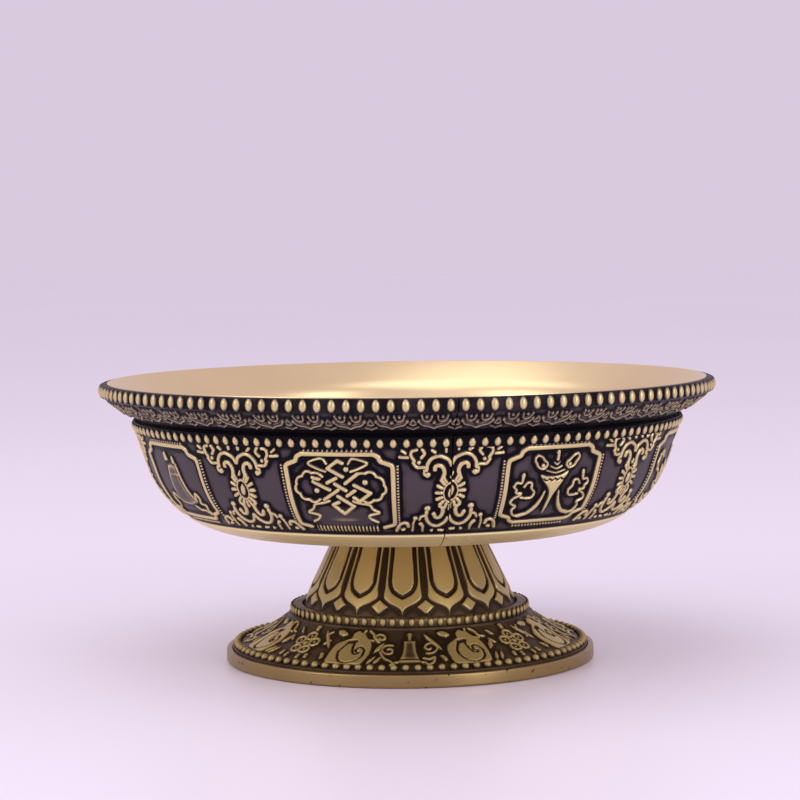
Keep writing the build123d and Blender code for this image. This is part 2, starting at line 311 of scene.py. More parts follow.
def lies_in(px, py, path):
    x0, y0 = path[:, 0], path[:, 1]
    x1, y1 = np.roll(x0, -1), np.roll(y0, -1)
    over = (y0 > py[:, None]) != (y1 > py[:, None])
    rise = np.where(np.abs(y1 - y0) < 1e-9, 1e-9, y1 - y0)
    return ((over & (px[:, None] < x0 + (py[:, None] - y0) * (x1 - x0) / rise)).sum(1) % 2).astype(bool)


# Lines of the relief: a smooth line through points, a spiral, and a scalloped edge
def smooth(*points, steps=7):
    p = np.array(points, float)
    p = np.vstack((2 * p[0] - p[1], p, 2 * p[-1] - p[-2]))
    line = [p[1]]
    for a, b, c, d in zip(p[:-3], p[1:-2], p[2:-1], p[3:]):
        for t in np.linspace(0, 1, steps + 1)[1:]:
            square, cube = 2 * a - 5 * b + 4 * c - d, 3 * b - a - 3 * c + d
            line.append(0.5 * (2 * b + (c - a) * t + square * t**2 + cube * t**3))
    return np.array(line)


def curl(x, y, radius, start, sweep, end_radius=0.3, steps=24):
    turn = np.radians(np.linspace(start, start + sweep, steps))
    reach = np.linspace(radius, end_radius, steps)
    return np.column_stack((x + reach * np.cos(turn), y + reach * np.sin(turn)))


def scalloped(path, lobes, depth):
    line = np.array(path, float)
    way = np.concatenate(([0], np.cumsum(np.hypot(*np.diff(line, axis=0).T))))
    at = np.linspace(0, way[-1], lobes * 8 + 1)
    fine = np.column_stack((np.interp(at, way, line[:, 0]), np.interp(at, way, line[:, 1])))
    lean = np.gradient(fine, axis=0)
    lean /= np.hypot(*lean.T)[:, None] + 1e-9
    bulge = np.abs(np.sin(np.arange(len(at)) * pi / 8))[:, None] * depth
    return fine + np.column_stack((lean[:, 1], -lean[:, 0])) * bulge


# A path, with its mirror image if asked, and an outline from its right side
def mirrored(path, both):
    path = np.array(path, float)
    return (path, path * (-1, 1)) if both else (path,)


def both_sides(right):
    return np.vstack((right, right[::-1] * (-1, 1)))


# Relief on a surface with millimetre coordinates: 0 on the ground, 1 on the proudest metal
class Relief:
    def __init__(self, x, y):
        self.x, self.y = x, y
        self.height = np.zeros(x.shape)

    def near(self, path, margin):
        low, high = path.min(0) - margin, path.max(0) + margin
        inside = (self.x > low[0]) & (self.x < high[0]) & (self.y > low[1]) & (self.y < high[1])
        return np.nonzero(inside)

    def raise_to(self, at, rise):
        self.height[at] = np.maximum(self.height[at], rise)

    def wire(self, path, width, height=1.0, taper=0.0, both=False):
        for line in mirrored(path, both):
            runs = [line] if not taper else [line[i : i + 2] for i in range(len(line) - 1)]
            for i, run in enumerate(runs):
                thick = width * (1 - taper * i / len(runs))
                at = self.near(run, thick)
                if len(at[0]):
                    off = distance_to(self.x[at], self.y[at], run)
                    self.raise_to(at, height * held(1 - (2 * off / thick) ** 2) ** 0.25)

    def boss(self, outline, height=1.0, edge=0.5, both=False):
        for path in mirrored(outline, both):
            at = self.near(path, 0.1)
            if len(at[0]):
                px, py = self.x[at], self.y[at]
                deep = distance_to(px, py, np.vstack((path, path[:1]))) * lies_in(px, py, path)
                self.raise_to(at, height * np.sin(held(deep / edge) * pi / 2))

    def ball(self, x, y, radius, height=1.0, both=False, stretch=1.0):
        for side in (1, -1) if both else (1,):
            off = np.hypot(self.x - side * x, (self.y - y) / stretch) / radius
            self.height = np.maximum(self.height, height * held(1 - off**2) ** 0.5)

    def cut(self, path, width, depth, both=False):
        for line in mirrored(path, both):
            at = self.near(line, width)
            if len(at[0]):
                off = distance_to(self.x[at], self.y[at], line)
                groove = depth * held(1 - (2 * off / width) ** 2) ** 0.5
                self.height[at] = np.maximum(self.height[at] - groove, 0)


# A scalloped wire like the edge of a cloud, on both sides of a symbol
def cloud_edge(r, lobes, *points, depth=0.35, width=0.55):
    r.wire(scalloped(smooth(*points), lobes, -depth), width, both=True)


# Panel frame: bold line with indented corners, a milled line beside it and ticks along its foot.
# A panel without a foot line has taller ticks in its place.
def panel_frame(r, foot_line):
    side, top, line = 9.75, 9.05, 0.9
    foot = -6.8 if foot_line else -8.2
    corner_wide, corner_tall = 3.4, 3.05
    bends = ((0, corner_tall), (0.2, 2.25), (1.2, 1.75), (2.1, 1.35), (2.5, 0.55), (corner_wide, 0))
    for level, inward in ((top, -1), (foot, 1)):
        corner = smooth(*[(side - x, level + inward * y) for x, y in bends])
        if level == top or foot_line:
            r.wire(corner, line, both=True)
            r.wire([(corner_wide - side, level), (side - corner_wide, level)], line)
        else:
            r.wire(corner[:22], line, both=True)
    r.wire([(side, foot + corner_tall), (side, top - corner_tall)], line, both=True)
    milled = Relief(r.x, r.y)
    milled.wire([(side + 0.82, foot + 1.0), (side + 0.82, top - 2.4)], 0.48, 0.85, both=True)
    r.height = np.maximum(r.height, milled.height * (0.6 + 0.4 * np.sin(r.y * 2 * pi / 0.6)))
    low, tall = (foot - 1.2, 0.55) if foot_line else (foot + 0.8, 1.3)
    ticks = (np.abs(r.x) < tick_reach) * held(1.5 - 1.5 * np.abs(r.y - low) / tall)
    ticks = 0.8 * ticks * held(0.5 + 0.9 * np.sin(r.x * 2 * pi / tick_pitch))
    r.height = np.maximum(r.height, ticks)


# Endless knot: the lengths of its woven band that show, with ribbons round it
def endless_knot(r):
    lengths = (
        ((0.9, 7.3), (0.1, 7.8), (-1.9, 6.3), (0.7, 4.7)),
        ((-4.9, 4.5), (-3.7, 4.2)),
        ((-2.2, 3.5), (-0.5, 4.4)),
        ((1.1, 3.4), (3.5, 5.3)),
        ((-4.8, 3.7), (-1.9, 2.1)),
        ((-0.8, 3.3), (1.1, 2.0)),
        ((2.7, 3.1), (5.5, 1.5), (3.4, -0.2), (2.4, 0.6)),
        ((-3.1, 0.1), (-0.3, 2.1)),
        ((1.2, 0.9), (2.7, 2.0)),
        ((-0.5, 0.8), (2.2, -1.3), (0.2, -3.1), (-1.6, -1.0), (-0.5, -0.5)),
    )
    for band in lengths:
        r.wire(band, 0.72)
    for x, y in ((4.7, 3.6), (-4.3, 1.9), (1.5, 6.1)):
        r.ball(x, y, 0.55)
    cloud = ((3.0, 4.7), (5.5, 5.4), (7.3, 4.3), (8.1, 2.8), (7.4, 1.0), (5.5, -0.1), (3.9, 0.1))
    cloud_edge(r, 6, *cloud, width=0.5)
    loop = smooth((2.3, 5.7), (3.9, 6.3), (5.4, 7.2), (4.6, 7.8), (2.8, 8.2), (2.0, 7.2))
    r.wire(loop, 0.45, both=True)
    tail = ((2.2, -0.2), (3.3, -0.6), (5.0, -1.0), (5.5, -2.0), (6.5, -2.8), (5.4, -3.2), (4.6, -3.6))
    r.wire(smooth(*tail, (4.8, -4.4), (5.9, -5.2)), 0.5, both=True)


# Cloud-edged ribbon that flutters beside a symbol, with a tail that swells as it sweeps back to it
def flying_ribbon(r, lift=0.0):
    up = (0, lift)
    edge = smooth((6.3, 0.2), (7.3, 0.3), (7.4, 1.0), (8.0, 1.6), (7.6, 2.4), (6.7, 2.3), (6.5, 3.4))
    r.wire(edge + up, 0.42, both=True)
    lobes = ((6.0, 1.5), (5.5, 2.3), (4.6, 2.2), (4.4, 1.1), (3.7, 0.3), (4.0, -0.7), (4.9, -0.9))
    r.wire(smooth(*lobes, (6.2, -0.7)) + up, 0.42, both=True)
    r.ball(6.5, 3.7 + lift, 0.4, 0.9, both=True, stretch=1.4)
    fall = ((6.4, -0.1), (7.7, -0.9), (7.8, -1.9), (6.7, -2.6), (7.1, -3.4), (6.5, -4.7), (5.4, -5.1))
    r.wire(smooth(*fall) + up, 0.45, both=True)
    sweep = smooth((1.5, 0.4), (1.9, -1.4), (2.5, -2.9), (3.7, -4.4), (5.4, -5.1))
    r.wire(sweep[14:] + up, 0.85, both=True)
    r.wire(sweep[16::-1] + up, 0.85, both=True, taper=0.8)


# Conch: finial, stacked whorls and a broad body that tapers to its curving tail
def conch(r):
    r.ball(-0.1, 8.0, 0.42, stretch=1.2)
    r.wire([(0, 7.6), (0.05, 6.5)], 0.5)
    for y, half in ((6.1, 0.75), (5.3, 1.35), (4.5, 2.1)):
        crescent = (
            smooth((-half, y + 0.2), (0, y - 0.3), (half, y + 0.2)),
            smooth((half, y - 0.2), (0, y - 0.75), (-half, y - 0.2)),
        )
        r.boss(np.vstack(crescent), edge=0.25)
    body = (
        smooth((-3.2, 3.6), (-2.3, 2.4), (-1.0, 0.8), (-0.55, -0.8), (-0.6, -3.2), (-0.4, -5.2)),
        smooth((-0.25, -5.2), (0.1, -3.0), (0.5, -0.6), (1.7, 1.7), (2.5, 3.0), (3.1, 4.3)),
        smooth((2.6, 4.3), (1.4, 3.7), (0, 3.45), (-1.5, 3.5), (-2.7, 3.8)),
    )
    r.boss(np.vstack(body), edge=0.35)
    r.cut(scalloped([(-2.3, 2.9), (2.4, 3.1)], 4, 0.4), 0.35, 0.7)
    ear = ((2.7, 4.8), (2.2, 5.8), (3.0, 6.6), (4.2, 7.5), (4.6, 6.7), (3.9, 5.5), (2.9, 4.8))
    cloud_edge(r, 4, *ear, depth=0.15, width=0.42)
    r.ball(2.9, 5.5, 0.45, both=True)
    flying_ribbon(r)


# Lotus flower: fan of pointed petals over two leaves
def lotus(r):
    root = np.array((0.0, -2.2))
    outline = ((0.05, 0.25), (0.45, 1.25), (0.75, 0.95), (1.0, 0.0))
    for lean, long in ((0, 6.0), (26, 5.6), (50, 5.0), (74, 4.4)):
        a = radians(lean)
        way, side = np.array((sin(a), cos(a))), np.array((cos(a), -sin(a)))
        edge = [root + way * long * t + side * w for t, w in outline]
        back = [root + way * long * t - side * w for t, w in outline[-2::-1]]
        r.boss(np.vstack((smooth(*edge), smooth(*back))), edge=0.45, both=bool(lean))
        r.cut([root + way * long * 0.2, root + way * long * 0.85], 0.3, 0.5, both=bool(lean))
    r.wire(smooth((0, -2.2), (0.2, -4.6), (-0.2, -7.0)), 0.7)
    leaf = ((0.4, -5.0), (2.4, -3.6), (4.9, -4.1), (6.6, -3.2), (5.6, -5.4), (3.2, -6.6), (0.4, -6.4))
    r.boss(smooth(*leaf), edge=0.4, both=True)
    r.cut(smooth((0.8, -5.7), (3.2, -5.0), (5.8, -4.0)), 0.3, 0.6, both=True)
    cloud_edge(r, 5, (4.6, 1.2), (6.6, 2.0), (7.0, 4.2), (5.4, 5.6), (4.2, 4.2))


# Treasure vase: round body with collar, neck, jewel and ribbons
def vase(r):
    belly = ((1.1, 2.3), (2.6, 1.4), (3.5, -0.6), (3.0, -2.9), (1.6, -4.4), (1.4, -5.2), (2.4, -6.0))
    r.boss(both_sides(smooth(*belly)), edge=0.6)
    r.cut(smooth((-3.1, 0.3), (0, -0.5), (3.1, 0.3)), 0.4, 0.6)
    r.cut(smooth((-2.9, -2.6), (0, -3.3), (2.9, -2.6)), 0.4, 0.6)
    for x in (-1.6, 0, 1.6):
        r.cut(smooth((x - 0.6, -0.6), (x, -2.2), (x + 0.6, -0.6)), 0.3, 0.5)
    r.boss([(-2.3, 3.5), (2.3, 3.5), (1.3, 2.4), (-1.3, 2.4)], edge=0.35)
    flame = smooth((0, 7.6), (1.1, 6.2), (1.5, 4.9), (0.6, 4.0))
    r.boss(both_sides(flame), edge=0.5)
    r.ball(0, 5.0, 0.7)
    cloud_edge(r, 5, (1.7, 4.0), (3.6, 5.6), (5.6, 5.2), (6.2, 3.4), (4.6, 2.6))
    flying_ribbon(r, -1.0)


# Pair of fish: two curved bodies, nose up, with scales and forked tails
def two_fish(r):
    back = smooth((1.2, 6.6), (3.0, 5.0), (3.9, 2.4), (3.5, -0.8), (2.2, -3.4), (1.9, -4.6))
    front = smooth((1.5, -4.6), (1.2, -2.6), (1.0, 0.6), (0.8, 3.4), (0.7, 5.8))
    r.boss(np.vstack((back, front)), edge=0.6, both=True)
    tail = smooth((1.6, -4.2), (3.6, -5.4), (4.3, -7.2), (2.2, -6.4), (0.6, -7.4), (1.0, -5.4))
    r.boss(tail, edge=0.4, both=True)
    r.ball(1.8, 5.0, 0.4, both=True)
    for y in np.arange(-2.6, 4.0, 1.05):
        r.cut(smooth((1.3, y), (2.3, y - 0.6), (3.3, y)), 0.28, 0.55, both=True)
    r.wire(smooth((3.8, 3.0), (5.4, 3.6), (5.2, 1.8), (3.8, 1.4)), 0.55, both=True)
    cloud_edge(r, 4, (4.2, -1.0), (6.4, -0.4), (7.0, -2.8), (5.4, -4.6))
    r.wire(curl(5.6, 5.8, 1.2, 200, -330), 0.55, both=True)


# Parasol: domed canopy with a hanging valance on a pole, streamers at its sides
def parasol(r):
    dome = smooth((0, 6.6), (2.4, 5.7), (4.2, 3.9), (5.2, 2.0))
    r.boss(both_sides(dome), edge=0.6)
    r.ball(0, 7.2, 0.6, stretch=1.4)
    for x in (-2.6, 0, 2.6):
        r.cut(smooth((x * 0.3, 6.2), (x * 0.8, 4.4), (x, 2.3)), 0.35, 0.6)
    for x in np.arange(-4.2, 4.3, 1.4):
        scallop = smooth((x - 0.62, 1.8), (x + 0.62, 1.8), (x + 0.5, 0.4), (x, -0.2), (x - 0.5, 0.4))
        r.boss(scallop, edge=0.3)
    r.wire([(0, 1.4), (0, -7.4)], 0.8)
    r.ball(0, -7.2, 0.7)
    streamer = smooth((4.9, 1.6), (6.2, 0.4), (5.2, -1.4), (6.3, -3.0), (5.2, -4.8), (6.2, -6.4))
    r.wire(streamer, 0.65, both=True)
    cloud_edge(r, 5, (0.8, -2.4), (2.6, -1.8), (3.8, -3.4), (2.6, -5.2), (0.8, -4.6), depth=0.3)


# Wheel: rim, hub and eight spokes with knobs outside the rim
def wheel(r):
    hub = 0.6
    r.wire(curl(0, hub, 4.7, 0, 360, 4.7, 60), 1.0)
    r.wire(curl(0, hub, 3.7, 0, 360, 3.7, 60), 0.4, 0.7)
    r.ball(0, hub, 1.3)
    for spoke in range(8):
        a = spoke * pi / 4
        r.wire([(1.2 * cos(a), hub + 1.2 * sin(a)), (4.4 * cos(a), hub + 4.4 * sin(a))], 0.75)
        r.ball(5.7 * cos(a), hub + 5.7 * sin(a), 0.62)
    r.wire(smooth((1.2, -5.4), (3.2, -6.4), (4.8, -5.4), (6.2, -6.6), (7.2, -5.2)), 0.65, both=True)
    r.wire(curl(6.2, 4.9, 1.3, 250, 330), 0.55, both=True)


# Victory banner: broad soft cloth under two small knobs, with a fluttering ribbon at its foot
def banner(r):
    r.boss(smooth((-2.2, 5.6), (-2.0, 7.4), (-1.2, 7.6), (-0.6, 5.8)), 0.8, edge=0.35)
    r.boss(smooth((0.7, 5.4), (1.0, 7.0), (1.6, 6.4), (1.9, 5.0)), 0.85, edge=0.3)
    cloth = ((-1.9, 5.3), (-2.8, 2.8), (-3.2, -0.4), (-2.8, -3.2), (0.4, -4.0), (3.4, -3.4), (4.3, -2.4))
    r.boss(smooth(*cloth, (3.1, -0.6), (2.3, 2.4), (1.8, 5.2), (0, 5.7)), 0.7, edge=0.9)
    r.wire(smooth((1.8, 5.2), (2.3, 2.4), (3.1, -0.6), (4.3, -2.4)), 0.4, 0.85)
    r.wire(scalloped([(-1.8, 3.4), (2.0, 3.4)], 3, 0.3), 0.35, 0.8)
    ribbon = ((4.2, -2.0), (5.0, -0.6), (5.7, -1.6), (5.2, -2.8), (6.4, -3.2), (6.0, -4.6), (6.9, -5.6))
    r.wire(smooth(*ribbon), 0.5, 0.85)
    r.wire(smooth((2.4, -3.6), (3.6, -4.6), (4.9, -4.6), (5.9, -5.6)), 0.45, 0.85)
    r.wire(smooth((-3.0, -2.4), (-4.4, -1.2), (-5.4, -2.4), (-4.9, -3.8), (-6.0, -4.9)), 0.45, 0.8)


# Scroll cross between two panels: petalled oval between ram's-horn volutes, with small scrolls
# that step outwards along the top and the foot
def scroll_cross(r):
    middle, wide, tall = 1.45, 2.3, 3.25
    for number in range(2, 15):
        a = pi / 2 + number * pi / 8
        petal = np.array((wide * cos(a), tall * sin(a)))
        root = np.array((0, middle)) + petal * 0.76
        r.wire([root, (0, middle) + petal * 1.08], 0.7)
    ring = np.hypot(r.x / 1.25, (r.y - middle) / 1.95)
    r.height = np.maximum(r.height, 0.85 * held(1 - ((ring - 1) / 0.13) ** 2) ** 0.3)
    almond = smooth((0.15, 2.85), (0.7, 1.95), (0.45, 0.75), (-0.05, 0.2), (-0.6, 0.95), (-0.45, 2.1))
    r.boss(almond, edge=0.3)
    r.boss(smooth((0.35, 5.5), (0.5, 4.8), (0.1, 4.1), (-0.35, 4.4), (-0.1, 5.0)), edge=0.25)
    strokes = (
        (0.7, (0.05, 6.8), (0.5, 7.7), (1.2, 8.2), (2.35, 8.6), (3.55, 8.2), (4.3, 7.15), (4.48, 5.9)),
        (0.45, (4.9, 5.9), (4.85, 5.1), (4.2, 4.7)),
        (0.78, (3.0, 6.0), (2.95, 6.5), (2.45, 6.8), (1.75, 6.55), (1.35, 5.85), (1.3, 5.1), (1.5, 4.4)),
        (0.5, (1.3, 4.9), (1.15, 4.2), (0.8, 3.6)),
        (0.7, (0.05, -4.2), (0.7, -5.6), (1.7, -6.4), (2.7, -6.2), (3.5, -5.3), (4.0, -4.0), (4.0, -2.7)),
        (0.78, (2.7, -3.2), (2.25, -4.1), (1.55, -4.0), (1.15, -3.0), (1.2, -2.0), (1.7, -1.4)),
        (0.6, (5.4, 9.9), (4.95, 9.1), (5.5, 8.3)),
        (0.6, (6.4, 9.8), (7.2, 9.6), (7.3, 8.7), (6.7, 7.7)),
        (0.6, (6.9, 7.4), (6.2, 6.5), (5.0, 6.5)),
        (0.42, (5.85, -4.4), (6.1, -5.6), (6.0, -7.9)),
        (0.5, (4.4, -3.6), (4.9, -3.9), (5.1, -4.6)),
        (0.7, (6.9, -6.5), (7.2, -5.7), (7.9, -5.5), (8.5, -6.1), (8.8, -7.8)),
    )
    for width, *points in strokes:
        r.wire(smooth(*points), width, both=True)
    r.wire(smooth((4.8, -5.8), (4.35, -6.6), (4.2, -8.0)), 0.75, both=True, taper=0.4)
    dashes = (
        (0.6, (7.9, 8.4), (9.3, 8.5)),
        (0.5, (8.3, 9.2), (9.0, 9.7)),
        (0.6, (3.1, 9.3), (3.6, 9.7)),
        (0.5, (1.1, 9.4), (1.1, 9.9)),
        (0.6, (0.7, -7.9), (1.3, -7.8)),
    )
    for width, *points in dashes:
        r.wire(points, width, both=True)
    for x, y, radius in ((4.25, 5.0, 0.6), (3.9, -1.95, 0.62), (5.85, -4.25, 0.5), (7.7, -7.5, 0.5)):
        r.ball(x, y, radius, both=True)
    r.ball(5.9, 7.4, 0.45, 0.9, both=True)
    r.boss([(2.3, -7.3), (3.1, -7.9), (2.3, -8.6)], edge=0.25, both=True)


# Soft mean over a grid, for telling hollows from edges
def softened(height, reach):
    pad = np.pad(height, reach, mode="edge")
    total = np.cumsum(np.cumsum(np.pad(pad, ((1, 0), (1, 0))), axis=0), axis=1)
    size = 2 * reach + 1
    below, above = total[:-size], total[size:]
    return (above[:, size:] - below[:, size:] - above[:, :-size] + below[:, :-size]) / size**2


# Wear of the dark patina: proud metal is rubbed bright, and hollows beside it stay darkest
def wear_of(height, reach=5):
    edge = height - softened(height, reach)
    crowded = (1 - height) * softened(height, 2 * reach)
    return held(0.2 + 0.62 * height + 1.1 * edge - 0.65 * crowded)


# Wear kept on a piece's points for its finish
def keep_wear(piece, wear):
    kept = piece.data.attributes.new("wear", "FLOAT", "POINT")
    kept.data.foreach_set("value", np.ravel(wear).astype(np.float32))


# A curved sheet with its face, by row and column, and its back, by row. Ends are closed if asked
def relief_piece(name, turn, face, back, wear, back_wear, closed_ends=False):
    radius = np.vstack((face[0], back[:, :1] + 0 * turn))
    level = np.vstack((face[1], back[:, 1:] + 0 * turn))
    rows, columns = radius.shape
    faces = grid_faces(rows, columns, True, False)
    if closed_ends:
        faces.append((np.arange(rows) * columns).tolist())
        faces.append((np.arange(rows)[::-1] * columns + columns - 1).tolist())
    piece = piece_from(name, bent(radius, level, turn), faces)
    keep_wear(piece, np.vstack((wear, back_wear + np.zeros((len(back), columns)))))
    if closed_ends:
        sharp = piece.data.attributes.new("sharp_face", "BOOLEAN", "FACE")
        sharp.data.foreach_set("value", np.arange(len(faces)) >= len(faces) - 2)
    return piece


# Antique patina: dark in the hollows, rubbed metal on the relief, with blotches and a fine grain
patina, given, out = new_group(
    "antique patina",
    {
        "Wear": "Float",
        "Hollow": "Color",
        "Ground": "Color",
        "Worn": "Color",
        "Blotch": "Float",
        "Shine": "Float",
    },
    {"Colour": "Color", "Roughness": "Float", "Metal": "Float", "Grain": "Float"},
)
place = add_node(patina, "ShaderNodeTexCoord").outputs["Object"]
cloud = add_node(patina, "ShaderNodeTexNoise", {"Vector": place, "Scale": 260.0, "Detail": 5.0})
shift = add_node(patina, "ShaderNodeMath", {0: cloud, 1: 0.5}, operation="SUBTRACT")
blotched = {0: shift, 1: given["Blotch"], 2: given["Wear"]}
spotted = add_node(patina, "ShaderNodeMath", blotched, operation="MULTIPLY_ADD")
steps = []
for least, most in ((0.0, 0.2), (0.45, 0.8)):
    ramp = {"Value": spotted, "From Min": least, "From Max": most}
    steps.append(add_node(patina, "ShaderNodeMapRange", ramp, interpolation_type="SMOOTHSTEP"))
low, high = steps
coated = {"Factor": low, "A": given["Hollow"], "B": given["Ground"]}
dark = add_node(patina, "ShaderNodeMix", coated, data_type="RGBA")
polished = {"Factor": high, "A": dark, "B": given["Worn"]}
worn = add_node(patina, "ShaderNodeMix", polished, data_type="RGBA")
sheen = add_node(patina, "ShaderNodeMapRange", {"Value": high, "To Min": 0.5, "To Max": 0.36})
metal = add_node(patina, "ShaderNodeMapRange", {"Value": high, "To Min": 0.85, "To Max": given["Shine"]})
grain = add_node(patina, "ShaderNodeTexNoise", {"Vector": place, "Scale": 2600.0, "Detail": 2.0})
feed(patina, out, {"Colour": worn, "Roughness": sheen, "Metal": metal, "Grain": grain})


# Antiqued cast brass, from the wear kept on the piece
def antique_brass(name, hollow, ground_colour, worn_colour, blotch, shine):
    material, tree, shader = new_material(name)
    kept = add_node(tree, "ShaderNodeAttribute", attribute_name="wear").outputs["Fac"]
    amounts = {"Wear": kept, "Blotch": blotch, "Shine": shine}
    colours = {"Hollow": (*hollow, 1), "Ground": (*ground_colour, 1), "Worn": (*worn_colour, 1)}
    coat = add_node(tree, "ShaderNodeGroup", amounts | colours, node_tree=patina).outputs
    grained = {"Height": coat["Grain"], "Strength": 0.45, "Distance": 0.00004}
    bump = add_node(tree, "ShaderNodeBump", grained)
    looks = {"Base Color": coat["Colour"], "Roughness": coat["Roughness"], "Metallic": coat["Metal"]}
    feed(tree, shader, looks | {"Normal": bump, "Specular IOR Level": 0.3})
    return material


relief_antique = antique_brass(
    "antiqued relief brass",
    hollow=(0.006, 0.005, 0.008),
    ground_colour=(0.088, 0.070, 0.078),
    worn_colour=(0.70, 0.57, 0.28),
    blotch=0.2,
    shine=0.85,
)
# The border's colours are lighter than the relief's worn metal and carry less metal. Besides the band's
# own polish, this is painted light that stands for the pale floor under the belly lighting it from below.
border_brass_painted_light = antique_brass(
    "polished border brass with painted floor light",
    hollow=(0.10, 0.07, 0.04),
    ground_colour=(0.45, 0.34, 0.18),
    worn_colour=(0.86, 0.71, 0.36),
    blotch=0.2,
    shine=0.5,
)

# The bowl's outside takes the strips' dark patina above the belly. Where it shows in the narrow groove
# above the strip, this near black is also painted shade under the flared lip
groove_foot = 40.0
bowl.data.materials.append(relief_antique)
for face in bowl.data.polygons:
    face.material_index = int(face.normal.z < -0.1 and face.center.z > groove_foot * millimetre)

# Rows up the strip's face, as runs from the border's top: down to its foot, and up to the strip's top
rows_up = np.concatenate(
    (
        np.linspace(-border_run, -border_run + 0.5, 5),
        np.linspace(-border_run + 1.0, -0.7, 12),
        np.arange(-0.4, strip_top - 0.2, row_pitch),
        np.linspace(strip_top - 0.15, strip_top, 3),
    )
)


# Radius, height and outward direction of the strip's face at a run up it
def strip_line(run):
    angle = np.minimum(border_start + run / (belly_radius + relief_top), wall_angle)
    rise = np.maximum(run - belly_run, 0)
    out_r, out_z = np.sin(angle), -np.cos(angle)
    radius = floor_radius + belly_radius * out_r + rise * sin(wall_slope)
    height = belly_height + belly_radius * out_z + rise * cos(wall_slope)
    return radius, height, out_r, out_z


base_r, base_z, out_r, out_z = (v[:, None] for v in strip_line(rows_up))
strip_back = np.column_stack(strip_line(np.linspace(strip_top, -border_run, 14))[:2])
face_radius = base_r + out_r * relief_top
symbols = (
    ("conch", conch),
    ("lotus", lotus),
    ("vase", vase),
    ("fish", two_fish),
    ("parasol", parasol),
    ("wheel", wheel),
    ("banner", banner),
    ("knot", endless_knot),
)
half = pi / panel_count
chance = np.random.default_rng(pit_seed)
for number, (title, draw_symbol) in enumerate(symbols):
    middle = seam_angle + (2 * number + 1) * half
    ends = [-half, half]
    if number == 0:
        ends[0] += seam_gap / 2 / frame_radius
    if number == panel_count - 1:
        ends[1] -= seam_gap / 2 / frame_radius
    turn = np.linspace(*ends, strip_columns)[None, :]
    way = (number + 0.5 + turn / (2 * half)) / panel_count
    x = face_radius * turn
    y = rows_up[:, None] - panel_mid + seam_step * (way - 0.5)
    framed = Relief(frame_radius * turn + 0 * y, y)
    panel_frame(framed, title != "knot")
    panel = Relief(x, y)
    draw_symbol(panel)
    height = np.maximum(framed.height, panel.height)
    for side in (-1, 1):
        cross = Relief(x - side * face_radius * half, y)
        scroll_cross(cross)
        height = np.maximum(height, cross.height)
    dots = held(1 - np.abs(y - (panel_top - panel_mid) + 0.1) / 0.3) ** 0.5
    dots *= np.abs(framed.x) < tick_reach
    dots *= held(0.3 + np.sin(framed.x * 2 * pi / dot_pitch))
    height = np.maximum(height, 0.8 * dots)
    run = rows_up[:, None] + 0 * turn
    height = np.where((run > panel_top + 0.1) | (run < 0), 0, height)
    border = held(-run / 0.3) ** 0.5 * held((run + border_run) / 0.5 + 0.25) ** 0.5
    land = bead_land_rise * ((run > panel_top + 0.15) & (run < strip_top))
    height = np.maximum(np.maximum(height, border), land)
    wear = np.where(run > panel_top + 0.15, 0.0, wear_of(height))
    # Below the panels the border takes its high wear: its own polish plus painted floor light.
    wear = np.where(run < -0.1, border_polish_and_floor_light, wear)
    if title == "knot":
        rubbed = held((rub_top - y) / 4.0) * held((y - rub_foot) / 2.0)
        wear = held(wear + rub_wear * rubbed * np.exp(-((framed.x / rub_reach) ** 2)))
    if title == "conch":
        near_seam = held((pit_reach - half - turn) / 0.2)
        wear = wear - 0.5 * near_seam * ((run < -0.3) & (chance.random(run.shape) > pit_rarity))
    proud = ground + relief_rise * height
    face = (base_r + out_r * proud, base_z + out_z * proud)
    panel_piece = relief_piece(
        "wall_strip_" + title, middle + turn, face, strip_back, wear, strip_back_wear, closed_ends=True
    )
    panel_piece.data.materials.append(relief_antique)
    panel_piece.data.materials.append(border_brass_painted_light)
    border_faces = np.count_nonzero(rows_up < -0.15) * (turn.size - 1)
    on_border = np.arange(len(panel_piece.data.polygons)) < border_faces
    panel_piece.data.polygons.foreach_set("material_index", on_border.astype(np.int32))
    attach(panel_piece, "root")
    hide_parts("wall_strip")


# Ring of copies: one piece set round the axis by equal steps, made real, welded where copies meet
weld_distance = 0.000004
copy_ring, given, out = new_group(
    "ring of copies",
    {"Geometry": "Geometry", "Count": "Int", "First Turn": "Float", "Step": "Float", "Finish": "Material"},
    {"Geometry": "Geometry"},
    "GeometryNodeTree",
)
seats = add_node(copy_ring, "GeometryNodePoints", {"Count": given["Count"]})
index = add_node(copy_ring, "GeometryNodeInputIndex")
by_step = {0: index, 1: given["Step"], 2: given["First Turn"]}
angle = add_node(copy_ring, "ShaderNodeMath", by_step, operation="MULTIPLY_ADD")
heading = add_node(copy_ring, "FunctionNodeAxisAngleToRotation", {"Axis": (0, 0, 1), "Angle": angle})
seated = {"Points": seats, "Instance": given["Geometry"], "Rotation": heading}
copies = add_node(copy_ring, "GeometryNodeInstanceOnPoints", seated)
made_real = add_node(copy_ring, "GeometryNodeRealizeInstances", {0: copies})
joined = {"Geometry": made_real, "Distance": weld_distance}
welded = add_node(copy_ring, "GeometryNodeMergeByDistance", joined)
finished = {"Geometry": welded, "Material": given["Finish"]}
feed(copy_ring, out, {0: add_node(copy_ring, "GeometryNodeSetMaterial", finished)})


